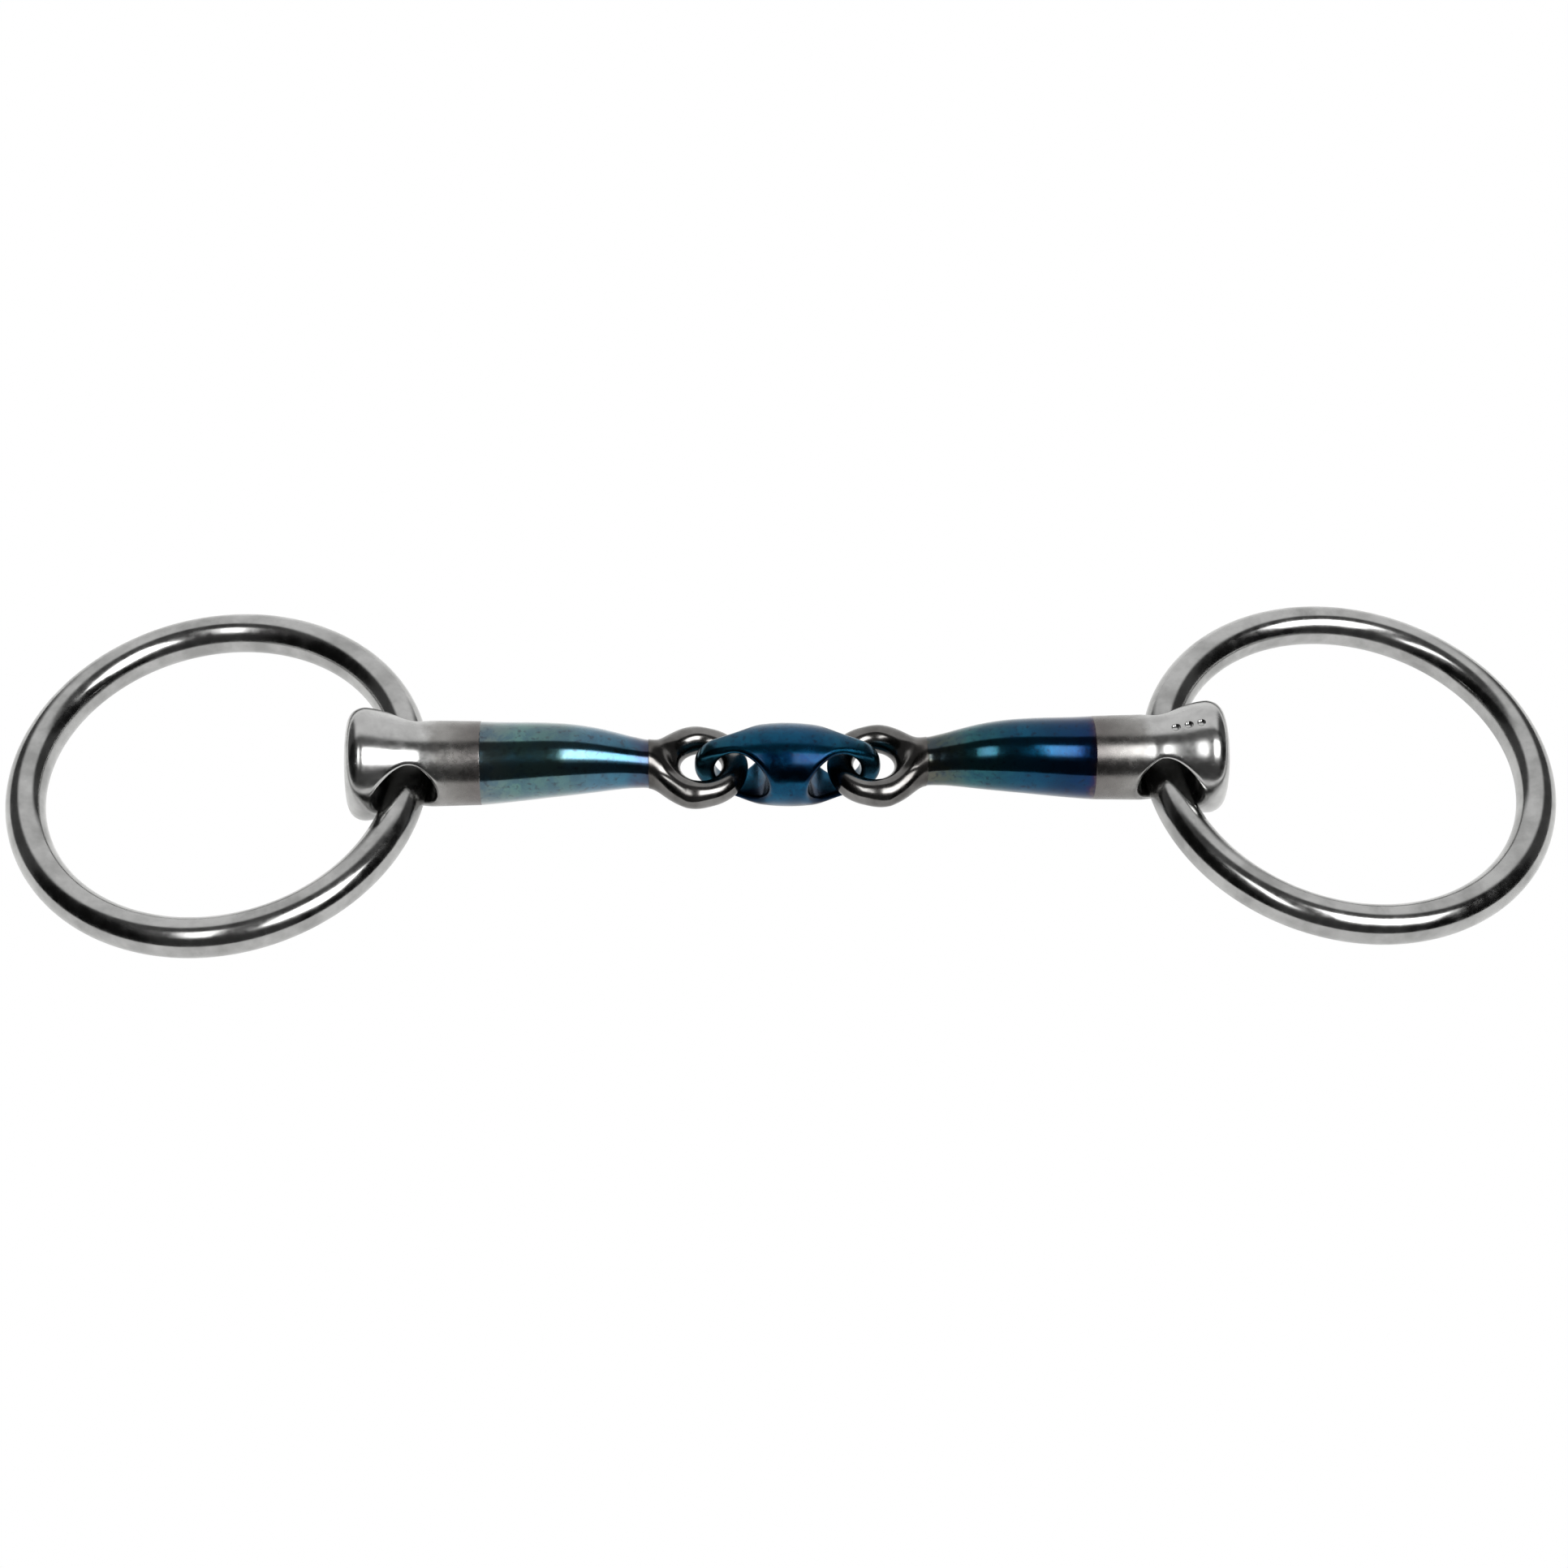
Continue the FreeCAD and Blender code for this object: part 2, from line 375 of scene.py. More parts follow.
@dataclass(frozen=True)
class Arm:
    """One arm of the mouthpiece, worked out as if it were the right one: eye, sleeve and barrel."""

    side: Side
    # barrel
    bore_radius: float = 5.5
    bore_rounding: float = 1.3
    barrel_net: float = 0.2
    end_rounding: float = 3.6
    flare_start: float = 64.0
    flare_end: float = 75.0
    flare_height: float = 2.18
    taper: float = 0.02
    seam_radius: float = 7.4
    flare_lean: float = 0.94  # shrinks the distance measured square to the axis to that square to the flare
    # neck and sleeve
    loft_start: float = 18.0
    loft_step: float = 3.0
    arch_rise: float = 0.95
    half_widths: tuple[float, ...] = (7.0, 5.7, 4.4, 4.55, 5.05, 5.6, 6.05, 6.4, 6.65, 6.87, 7.05, 7.22, 7.4)
    half_heights: tuple[float, ...] = (2.25, 3.3, 4.4, 4.55, 5.05, 5.6, 6.05, 6.4, 6.65, 6.87, 7.05, 7.22, 7.4)
    # eye
    eye_radius: float = 6.0
    eye_wire: float = 2.35
    eye_blend: float = 2.2
    eye_start: float = 6.0
    eye_mouth_rounding: float = 1.5
    eye_net: float = 0.17
    neck_inset: float = 0.02
    neck_run_in: float = 3.0
    stem_radius: float = 3.0
    stem_in_neck: float = 2.0
    stem_past_seam: float = 5.0
    cut_spare: float = 1.0
    net_spare: float = 1.6
    braze_gap: float = 0.05
    # size mark on the right barrel
    dot_first: float = 67.8
    dot_pitch: float = 2.2
    dot_count: int = 3
    dot_radius: float = 0.75
    dot_depth: float = 0.3
    dot_rounding: float = 0.12

    @property
    def axis_z(self) -> float:
        """Height of the barrel's axis."""
        return float(joint_point(f"{self.side.word}_ring_swing")[2])

    @property
    def bore_x(self) -> float:
        """Distance of the bore from the middle."""
        return abs(float(joint_point(f"{self.side.word}_ring_swing")[0]))

    @property
    def seam(self) -> float:
        """Distance from the middle to where sleeve and barrel meet."""
        low, high = node_box(f"{self.side.word}_sleeve")
        return float(max(abs(low[0]), abs(high[0])))

    @property
    def neck_seam(self) -> float:
        """Distance from the middle to where the eye's neck and the sleeve meet."""
        low, high = node_box(f"{self.side.word}_sleeve")
        return float(min(abs(low[0]), abs(high[0])))

    @property
    def barrel_end(self) -> float:
        """Distance from the middle to the barrel's outer end."""
        low, high = node_box(f"{self.side.word}_barrel")
        return float(max(abs(low[0]), abs(high[0])))

    @property
    def eye_centre(self) -> np.ndarray:
        """The eye's centre, on the right arm: its strand turns about the fold's axis."""
        x, _, z = joint_point(f"{self.side.word}_arm_fold")
        return np.array([abs(x) + self.eye_radius, 0.0, z])

    def own_side(self, points: np.ndarray) -> np.ndarray:
        """Points of this arm turned over to the right arm's side, or back."""
        return points * np.array([self.side.value, 1.0, 1.0])

    def axis_height(self, x: np.ndarray) -> np.ndarray:
        """Height of the arm's centre line: level at the barrel, arched, and dropping to the eye.

        Formula: with t from 0 at the neck to 1 at the seam, the barrel's height, plus the arch times
        16 t^2 (1 - t)^2, less the eye's drop times (1 - t)^3.

        Args:
            x: Distances from the middle.

        Returns:
            The height at each.
        """
        t = np.clip((x - self.loft_start) / (self.seam - self.loft_start), 0.0, 1.0)
        drop = self.axis_z - self.eye_centre[2]
        return self.axis_z + self.arch_rise * 16 * t**2 * (1 - t) ** 2 - drop * (1 - t) ** 3

    def half_size(self, sizes: tuple[float, ...], x: np.ndarray) -> np.ndarray:
        """Half width or half height of the neck and sleeve at x."""
        return through_points(np.array(sizes), self.loft_start, self.loft_step, x)

    def barrel_radius(self, x: np.ndarray) -> np.ndarray:
        """Radius of the barrel: a slight taper and a smooth flare."""
        flare = smooth_step((x - self.flare_start) / (self.flare_end - self.flare_start))
        return self.seam_radius + self.taper * (x - self.seam) + self.flare_height * flare

    def barrel_shape(self, points: np.ndarray) -> np.ndarray:
        """The barrel as a distance field: the flared round, its rounded end, less the bore along Y.

        Args:
            points: Places in millimetres.

        Returns:
            Roughly the distance to the barrel's surface, negative inside.
        """
        x, y, z = self.own_side(points).T
        z = z - self.axis_z
        side = (np.hypot(y, z) - self.barrel_radius(x)) * self.flare_lean
        body = smooth_max(side, x - self.barrel_end, self.end_rounding)
        bore = np.hypot(x - self.bore_x, z) - self.bore_radius
        body = smooth_max(body, -bore, self.bore_rounding)
        if self.side is Side.RIGHT:
            body = self.dotted(body, x, y, z)
        return body

    def dotted(self, body: np.ndarray, x: np.ndarray, y: np.ndarray, z: np.ndarray) -> np.ndarray:
        """Takes a row of shallow round punch marks out of the barrel's top.

        Formula: each mark is a ball whose cap of the mark's radius is as deep as the mark.

        Args:
            body: The barrel's distances.
            x: Distances from the middle.
            y: Places across.
            z: Heights over the barrel's axis.

        Returns:
            The distances to the marked barrel.
        """
        ball = (self.dot_radius**2 + self.dot_depth**2) / (2 * self.dot_depth)
        for i in range(self.dot_count):
            place = self.dot_first + i * self.dot_pitch
            height = float(self.barrel_radius(np.array(place))) + ball - self.dot_depth
            dent = np.sqrt((x - place) ** 2 + y**2 + (z - height) ** 2) - ball
            body = smooth_max(body, -dent, self.dot_rounding)
        return body

    def eye_shape(self, points: np.ndarray) -> np.ndarray:
        """The eye and its neck as a distance field, blended like a forging.

        Args:
            points: Places in millimetres.

        Returns:
            Roughly the distance to the surface, negative inside.
        """
        x, y, z = self.own_side(points).T
        cx, _, cz = self.eye_centre
        flat = np.hypot(x - cx, y)
        ring = np.hypot(flat - self.eye_radius, z - cz) - self.eye_wire
        wide = self.half_size(self.half_widths, x) - self.neck_inset
        high = self.half_size(self.half_heights, x) - self.neck_inset
        rise = z - self.axis_height(x)
        neck = (np.sqrt((y / wide) ** 2 + (rise / high) ** 2) - 1.0) * np.minimum(wide, high)
        neck = smooth_max(neck, self.loft_start - self.neck_run_in - x, self.neck_run_in)
        neck = smooth_max(neck, self.eye_radius - flat, self.eye_mouth_rounding)
        return np.maximum(smooth_min(ring, neck, self.eye_blend), x - self.neck_seam - self.cut_spare)

    def build_barrel(self) -> Piece:
        """The barrel's mesh, cut off square at its seam.

        Returns:
            The new piece.
        """
        low, high = node_box(f"{self.side.word}_barrel")
        piece = solid_piece(f"{self.side.word}_barrel_body", self.barrel_shape, low, high, self.barrel_net)
        return cut_square(piece, self.side.value * self.seam, self.side.value)

    def build_eye(self) -> Piece:
        """The eye's mesh with its neck, cut off square at the seam, and its stem in the sleeve.

        Returns:
            The new piece.
        """
        low, high = node_box(f"{self.side.word}_eye")
        ends = (self.side.value * self.eye_start, self.side.value * (self.neck_seam + self.net_spare))
        low, high = np.array([min(ends), low[1], low[2]]), np.array([max(ends), high[1], high[2]])
        piece = solid_piece(f"{self.side.word}_eye_forging", self.eye_shape, low, high, self.eye_net)
        piece = cut_square(piece, self.side.value * self.neck_seam, -self.side.value)
        return joined(piece, self.build_stem())

    def build_stem(self) -> Piece:
        """The stem: a bent round rod from inside the neck to inside the barrel, with flat ends.

        Formula: at each station along x, a circle about the arm's centre line.

        Returns:
            The stem, to be joined to the eye.
        """
        along, around = 60, 48
        x = np.linspace(self.neck_seam - self.stem_in_neck, self.seam + self.stem_past_seam, along)
        grid = self.rings_along(x, np.full(along, self.stem_radius), around)
        quads = closed_grid_quads(along, around)[: (along - 1) * around]
        if self.side is Side.RIGHT:
            quads = quads[:, ::-1]
        return capped(mesh_piece("stem", self.own_side(grid), quads))

    def rings_along(self, x: np.ndarray, radius: np.ndarray, around: int) -> np.ndarray:
        """Points of circles about the arm's centre line, one after another.

        Formula: x, radius * cos of the turn, centre line's height + radius * sin of the turn.

        Args:
            x: Each circle's distance from the middle.
            radius: Its radius.
            around: Points on each circle.

        Returns:
            The points, shape (circles * around, 3).
        """
        turn = np.linspace(0, 2 * math.pi, around, endpoint=False)
        grid = np.empty((len(x), around, 3))
        grid[..., 0] = x[:, None]
        grid[..., 1] = radius[:, None] * np.cos(turn)
        grid[..., 2] = self.axis_height(x)[:, None] + radius[:, None] * np.sin(turn)
        return grid.reshape(-1, 3)

    def build_sleeve(self) -> Piece:
        """The sleeve's mesh: its tapered outside, two flat ends and the hole for the stem.

        Formula: at each station along x, a circle of the sleeve's radius about the arched centre line;
        the ends and the hole are further rings of the same grid, so it closes on itself.

        Returns:
            The new piece.
        """
        along, around = 160, 128
        outside = np.linspace(self.neck_seam, self.seam, along)
        hole = outside[::-1][:: along // 8]
        radius = self.half_size(self.half_widths, outside)
        x = np.concatenate([outside, hole])
        r = np.concatenate([radius, np.full(len(hole), self.stem_radius + self.braze_gap)])
        quads = closed_grid_quads(len(x), around)
        if self.side is Side.RIGHT:
            quads = quads[:, ::-1]
        grid = self.rings_along(x, r, around)
        piece = mesh_piece(f"{self.side.word}_sleeve_tube", self.own_side(grid), quads)
        sharpen_ends(piece)
        return piece


@dataclass(frozen=True)
class LozengeLink:
    """The olive-shaped middle link: a full round body, two windows along Y and a pointed outline."""

    radius: float = 7.4
    side_arc: float = 36.0
    window_x: float = 8.25
    window_radius: float = 4.7
    window_rounding: float = 1.0
    outline_rounding: float = 0.9
    outline_lean: float = 0.8  # shrinks the distance measured along Y to that square to the outline
    net: float = 0.16
    tilt_degrees: float = 1.5
    roll_degrees: float = 8.0
    outline_step: float = 2.0
    outline_half_widths: tuple[float, ...] = (9.5, 8.5, 6.5, 4.7, 3.3, 2.5, 2.15, 1.9, 1.7, 1.6)

    @property
    def outline(self) -> tuple[np.ndarray, np.ndarray]:
        """The pointed outline: distances from the middle and the half width at each."""
        x = np.linspace(0.0, self.outline_step * (len(self.outline_half_widths) - 1), 400)
        return x, through_points(np.array(self.outline_half_widths), 0.0, self.outline_step, x)

    def shape(self, points: np.ndarray) -> np.ndarray:
        """The link as a distance field.

        Formula: the olive is a long arc turned about X and closed by a ball at each tip; it is trimmed by
        the pointed outline, and a round window along Y is taken out on each side, all edges rounded.

        Args:
            points: Places in millimetres.

        Returns:
            Roughly the distance to the link's surface, negative inside.
        """
        low, high = node_box("lozenge_link")
        centre = (low + high) / 2
        half_length = (high[0] - low[0]) / 2
        turn, lean = math.radians(self.tilt_degrees), math.radians(self.roll_degrees)
        px, py, pz = (points - centre).T
        y = py * math.cos(lean) - pz * math.sin(lean)
        up = py * math.sin(lean) + pz * math.cos(lean)
        x = np.abs(px * math.cos(turn) - up * math.sin(turn))
        z = px * math.sin(turn) + up * math.cos(turn)
        drop = self.side_arc - self.radius
        spare = self.side_arc - half_length
        tip_radius = (self.side_arc**2 - drop**2 - half_length**2) / (2 * spare)
        tip_x = half_length - tip_radius
        flat = np.hypot(y, z)
        on_tip = x * drop > (flat + drop) * tip_x
        olive = np.where(
            on_tip,
            np.hypot(x - tip_x, flat) - tip_radius,
            np.hypot(x, flat + drop) - self.side_arc,
        )
        width = np.interp(x, *self.outline)
        trimmed = smooth_max(olive, (np.abs(y) - width) * self.outline_lean, self.outline_rounding)
        window = self.window_radius - np.hypot(x - self.window_x, z)
        return smooth_max(trimmed, window, self.window_rounding)

    def build(self) -> Piece:
        """The link's mesh."""
        low, high = node_box("lozenge_link")
        return solid_piece("lozenge_body", self.shape, low, high, self.net)


def cut_square(piece: Piece, x: float, kept: int) -> Piece:
    """Cuts a piece off at an x position and closes the cut with one flat face.

    Args:
        piece: The piece to cut.
        x: Where to cut, in millimetres.
        kept: 1 to keep what lies at a larger x, -1 to keep what lies at a smaller x.

    Returns:
        The same piece.
    """
    shell = bmesh.new()
    shell.from_mesh(piece.data)
    geometry = shell.verts[:] + shell.edges[:] + shell.faces[:]
    cut = bmesh.ops.bisect_plane(
        shell,
        geom=geometry,
        plane_co=(x * MM, 0, 0),
        plane_no=(kept, 0, 0),
        clear_inner=True,
    )
    edges = [item for item in cut["geom_cut"] if isinstance(item, bmesh.types.BMEdge)]
    bmesh.ops.holes_fill(shell, edges=edges)
    shell.to_mesh(piece.data)
    shell.free()
    return piece


def capped(piece: Piece) -> Piece:
    """Closes a piece's open ends, each with one flat face.

    Args:
        piece: The piece, open where its edges have one face.

    Returns:
        The same piece.
    """
    shell = bmesh.new()
    shell.from_mesh(piece.data)
    bmesh.ops.holes_fill(shell, edges=[edge for edge in shell.edges if edge.is_boundary])
    bmesh.ops.recalc_face_normals(shell, faces=shell.faces[:])
    shell.to_mesh(piece.data)
    shell.free()
    return piece


def joined(piece: Piece, other: Piece) -> Piece:
    """Moves another object's mesh into a piece and removes the other.

    Args:
        piece: The piece that stays.
        other: The object whose faces it takes over.

    Returns:
        The piece.
    """
    with bpy.context.temp_override(active_object=piece, selected_editable_objects=[piece, other]):
        bpy.ops.object.join()
    return piece


def sharpen_ends(piece: Piece) -> None:
    """Gives a piece's sharp edges a crisp look."""
    piece.data.set_sharp_from_angle(angle=math.radians(SHARP_ANGLE))


# ---------------------------------------------------------------- materials


def linear(hex_colour: str) -> tuple[float, float, float, float]:
    """Turns an sRGB hex colour linear.

    Args:
        hex_colour: The colour as a hash and six digits.

    Returns:
        Its linear red, green and blue, and an alpha of 1.
    """
    parts = [int(hex_colour[i : i + 2], 16) / 255 for i in (1, 3, 5)]
    red, green, blue = [c / 12.92 if c <= 0.04045 else ((c + 0.055) / 1.055) ** 2.4 for c in parts]
    return red, green, blue, 1.0


def add_node(
    tree: Tree,
    kind: str,
    inputs: dict | None = None,
    stops: list[tuple[float, tuple]] | None = None,
    **settings: object,
) -> bpy.types.Node:
    """Adds one node with its settings and links.

    Args:
        tree: The material's or world's node tree.
        kind: The node's type name.
        inputs: Input names or numbers, each with its value or the socket that feeds it.
        stops: A ramp's places from 0 to 1, low to high, each with its linear colour.
        **settings: The node's own properties.

    Returns:
        The new node.
    """
    node = tree.nodes.new(kind)
    for name, value in settings.items():
        setattr(node, name, value)
    for name, value in (inputs or {}).items():
        if isinstance(value, Socket):
            tree.links.new(value, node.inputs[name])
        else:
            node.inputs[name].default_value = value
    if stops:
        elements = node.color_ramp.elements
        elements[0].position, elements[0].color = stops[0]
        elements[1].position, elements[1].color = stops[-1]
        for place, colour in stops[1:-1]:
            elements.new(place).color = colour
    return node


def per_metre(size_mm: float) -> float:
    """How many patches of a size in millimetres go into a metre: a noise's scale."""
    return 1 / (size_mm * MM)


def grey(level: float) -> tuple[float, float, float, float]:
    """A linear grey."""
    return level, level, level, 1.0


def new_material(name: str) -> tuple[bpy.types.Material, Tree, bpy.types.Node]:
    """An empty material with one Principled shader.

    Args:
        name: The material's name.

    Returns:
        The material, its node tree and the shader.
    """
    material = bpy.data.materials.new(name)
    material.use_nodes = True
    tree = material.node_tree
    tree.nodes.clear()
    shader = add_node(tree, "ShaderNodeBsdfPrincipled")
    add_node(tree, "ShaderNodeOutputMaterial", {"Surface": shader.outputs["BSDF"]})
    return material, tree, shader


def graded(tree: Tree, place: Socket, stops: list[tuple[float, tuple]], unit: float = 1.0) -> Socket:
    """Adds colours that change along a socket's value.

    Formula: the value is scaled to run from 0 at the first stop to 1 at the last, and read on a ramp.

    Args:
        tree: The node tree.
        place: The socket to read.
        stops: Places, low to high, each with its linear colour.
        unit: Size of one step of the places in the socket's own unit.

    Returns:
        The colour's socket.
    """
    first, last = stops[0][0], stops[-1][0]
    ends = {"Value": place, "From Min": first * unit, "From Max": last * unit}
    along = add_node(tree, RANGE, ends).outputs["Result"]
    ramp = [((at - first) / (last - first), colour) for at, colour in stops]
    return add_node(tree, RAMP, {"Fac": along}, ramp).outputs["Color"]


def wandering(tree: Tree, here: Socket, place: Socket, size_mm: float, detail: float, reach_mm: float) -> Socket:
    """Makes the lines of equal place wander, as the edge of a heat stain does.

    Formula: the place plus a noise that runs from -reach to reach.

    Args:
        tree: The node tree.
        here: The coordinates in metres.
        place: The place's socket, in metres.
        size_mm: Size of the wanders.
        detail: How fine they go.
        reach_mm: How far they go to and fro.

    Returns:
        The new place's socket.
    """
    cloud = add_node(tree, NOISE, {"Vector": here, "Scale": per_metre(size_mm), "Detail": detail}).outputs["Fac"]
    reach = reach_mm * MM
    ends = {"Value": cloud, "From Min": 0.3, "From Max": 0.7, "To Min": -reach, "To Max": reach}
    shift = add_node(tree, RANGE, ends).outputs["Result"]
    return add_node(tree, MATH, {0: place, 1: shift}, operation="ADD").outputs[0]


def distance_out(tree: Tree, here: Socket, reach_mm: float) -> Socket:
    """Adds the distance from the middle of the bit along X, in metres, with wandering lines.

    Args:
        tree: The node tree.
        here: The coordinates in metres.
        reach_mm: How far the lines wander to and fro.

    Returns:
        The distance's socket.
    """
    split = add_node(tree, SPLIT, {"Vector": here})
    out = add_node(tree, MATH, {0: split.outputs["X"]}, operation="ABSOLUTE").outputs[0]
    return wandering(tree, here, out, 4.0, 3.0, reach_mm)


def dress_metal(
    tree: Tree,
    shader: bpy.types.Node,
    colour: Socket,
    haze: Socket,
    layers: list[tuple[Socket, float]],
) -> None:
    """Feeds a metal's shader with its colour, roughness and bump layers, one on another.

    Args:
        tree: The material's node tree.
        shader: Its shader.
        colour: The colour's socket.
        haze: The roughness's socket.
        layers: Each height pattern's socket with its depth in millimetres.
    """
    links = {}
    for height, depth_mm in layers:
        inputs = {"Height": height, "Distance": depth_mm * MM, **links}
        links = {"Normal": add_node(tree, "ShaderNodeBump", inputs).outputs["Normal"]}
    shader.inputs["Metallic"].default_value = 1.0
    for name, socket in {"Base Color": colour, "Roughness": haze, **links}.items():
        tree.links.new(socket, shader.inputs[name])


@dataclass(frozen=True)
class PolishedSteel:
    """Stainless steel, ground and then buffed on a mop.

    The mop leaves a mirror with a faint haze, fine scratches every way and a slight waviness, and the
    grey varies a little from place to place. Heat from brazing leaves a duller stain that fades along X.
    """

    name: str
    light: str = "#acacab"
    dark: str = "#929291"
    haze: float = 0.15
    patch_mm: float = 7.0
    wave_mm: float = 3.5
    wave_depth_mm: float = 0.01
    scratch_mm: float = 0.3  # real ones are a few hundredths; drawn coarser so that they show
    scratch_depth_mm: float = 0.0012
    stain: tuple[tuple[float, str, float], ...] = ()  # distance out in mm, colour and added haze

    def material(self) -> bpy.types.Material:
        """The steel's material: its tone, haze and stain, then waves and scratches.

        Returns:
            The material.
        """
        material, tree, shader = new_material(self.name)
        here = add_node(tree, "ShaderNodeTexCoord").outputs["Object"]
        patches, smears, waves, scratches = [
            add_node(tree, NOISE, {"Vector": here, "Scale": per_metre(size), **others}).outputs["Fac"]
            for size, others in (
                (self.patch_mm, {"Detail": 4.0, "Roughness": 0.6}),
                (self.patch_mm / 3, {"Detail": 5.0, "Roughness": 0.7}),
                (self.wave_mm, {"Detail": 1.0}),
                (self.scratch_mm, {"Detail": 3.0, "Distortion": 0.8}),
            )
        ]
        tones = [(0.35, linear(self.dark)), (0.62, linear(self.light))]
        colour = add_node(tree, RAMP, {"Fac": patches}, tones).outputs["Color"]
        ends = {"From Min": 0.3, "From Max": 0.7, "To Min": self.haze * 0.7, "To Max": self.haze * 1.5}
        haze = add_node(tree, RANGE, {"Value": smears, **ends}).outputs["Result"]
        if self.stain:
            colour, haze = self.stained(tree, here, colour, haze)
        dress_metal(tree, shader, colour, haze, [(waves, self.wave_depth_mm), (scratches, self.scratch_depth_mm)])
        return material

    def stained(
        self,
        tree: Tree,
        here: Socket,
        colour: Socket,
        haze: Socket,
    ) -> tuple[Socket, Socket]:
        """Lays the heat stain over the steel's colour and roughness.

        Args:
            tree: The material's node tree.
            here: The coordinates in metres.
            colour: The clean steel's colour.
            haze: Its roughness.

        Returns:
            The stained colour and roughness.
        """
        out = distance_out(tree, here, 1.2)
        tints = graded(tree, out, [(at, linear(tint)) for at, tint, _ in self.stain], MM)
        dulls = graded(tree, out, [(at, grey(dull)) for at, _, dull in self.stain], MM)
        both = {0: 1.0, 6: colour, 7: tints}
        stained = add_node(tree, MIX, both, data_type="RGBA", blend_type="MULTIPLY").outputs[2]
        return stained, add_node(tree, MATH, {0: haze, 1: dulls}, operation="ADD").outputs[0]


@dataclass(frozen=True)
class FlameBluedIron:
    """Sweet iron, polished and then blued in a flame.

    The oxide film runs through straw, violet, blue and teal as it gets thicker along the flame's path,
    mottled where the heat was uneven and speckled dark where it is thickest. It is hard and clear on
    top, so its highlights stay nearly white.
    """

    name: str
    film: tuple[tuple[float, str], ...]  # place along X in mm and colour
    mottle: str = "#24496b"
    mottle_share: float = 0.55
    speck: str = "#101a2c"
    haze: float = 0.11
    mottle_mm: float = 2.6
    speck_mm: float = 0.9
    wave_mm: float = 3.0
    wave_depth_mm: float = 0.014
    pit_depth_mm: float = 0.004
    clear: float = 0.35
    signed: bool = False  # whether the film's places are read from X itself, not from the distance out
    # across: painted shade, a multiplying tint along Y that darkens a band on the front in place of a dim
    # reflection
    across: tuple[tuple[float, str], ...] = ()  # place along Y in mm and tint

    def material(self) -> bpy.types.Material:
        """The blued iron's material: the film, darkened across Y by painted shade where given, then its mottle,
        tones and specks.

        Returns:
            The material.
        """
        material, tree, shader = new_material(self.name)
        here = add_node(tree, "ShaderNodeTexCoord").outputs["Object"]
        if self.signed:
            place = add_node(tree, SPLIT, {"Vector": here}).outputs["X"]
        else:
            place = distance_out(tree, here, 1.0)
        film = graded(tree, place, [(at, linear(tint)) for at, tint in self.film], MM)
        # painted shade: the tint across Y darkens a band on the front to stand in for a dim, dark reflection
        # there
        if self.across:
            both = {0: 1.0, 6: film, 7: self.tint_across(tree, here)}
            film = add_node(tree, MIX, both, data_type="RGBA", blend_type="MULTIPLY").outputs[2]
        clouds, tones, specks, waves = [
            add_node(tree, NOISE, {"Vector": here, "Scale": per_metre(size), **others}).outputs["Fac"]
            for size, others in (
                (self.mottle_mm, {"Detail": 4.0, "Roughness": 0.6, "Distortion": 0.4}),
                (self.mottle_mm * 3, {"Detail": 2.0}),
                (self.speck_mm, {"Detail": 2.0, "Roughness": 0.5}),
                (self.wave_mm, {"Detail": 2.0}),
            )
        ]
        for pattern, start, end, share, how, tint in (
            (clouds, 0.44, 0.6, self.mottle_share, "MIX", self.mottle),
            (tones, 0.35, 0.65, 0.35, "MULTIPLY", "#8c979c"),
            (specks, 0.57, 0.72, 0.6, "MIX", self.speck),
        ):
            ends = {"Value": pattern, "From Min": start, "From Max": end, "To Max": share}
            both = {0: add_node(tree, RANGE, ends).outputs["Result"], 6: film, 7: linear(tint)}
            film = add_node(tree, MIX, both, data_type="RGBA", blend_type=how).outputs[2]
        ends = {"From Min": 0.3, "From Max": 0.7, "To Min": self.haze * 0.8, "To Max": self.haze * 1.6}
        haze = add_node(tree, RANGE, {"Value": clouds, **ends}).outputs["Result"]
        shader.inputs["Coat Weight"].default_value = self.clear
        shader.inputs["Coat Roughness"].default_value = 0.08
        dress_metal(tree, shader, film, haze, [(waves, self.wave_depth_mm), (specks, self.pit_depth_mm)])
        return material

    def tint_across(self, tree: Tree, here: Socket) -> Socket:
        """Adds painted shade from front to back, with a wandering edge: a darker band across the link's front
        that stands in for its dim reflection there, not a colour of the film.

        Args:
            tree: The material's node tree.
            here: The coordinates in metres.

        Returns:
            The painted shade's socket.
        """
        y = add_node(tree, SPLIT, {"Vector": here}).outputs["Y"]
        place = wandering(tree, here, y, 3.0, 2.0, 0.5)
        return graded(tree, place, [(at, linear(tint)) for at, tint in self.across], MM)


# ---------------------------------------------------------------- floor, light and camera


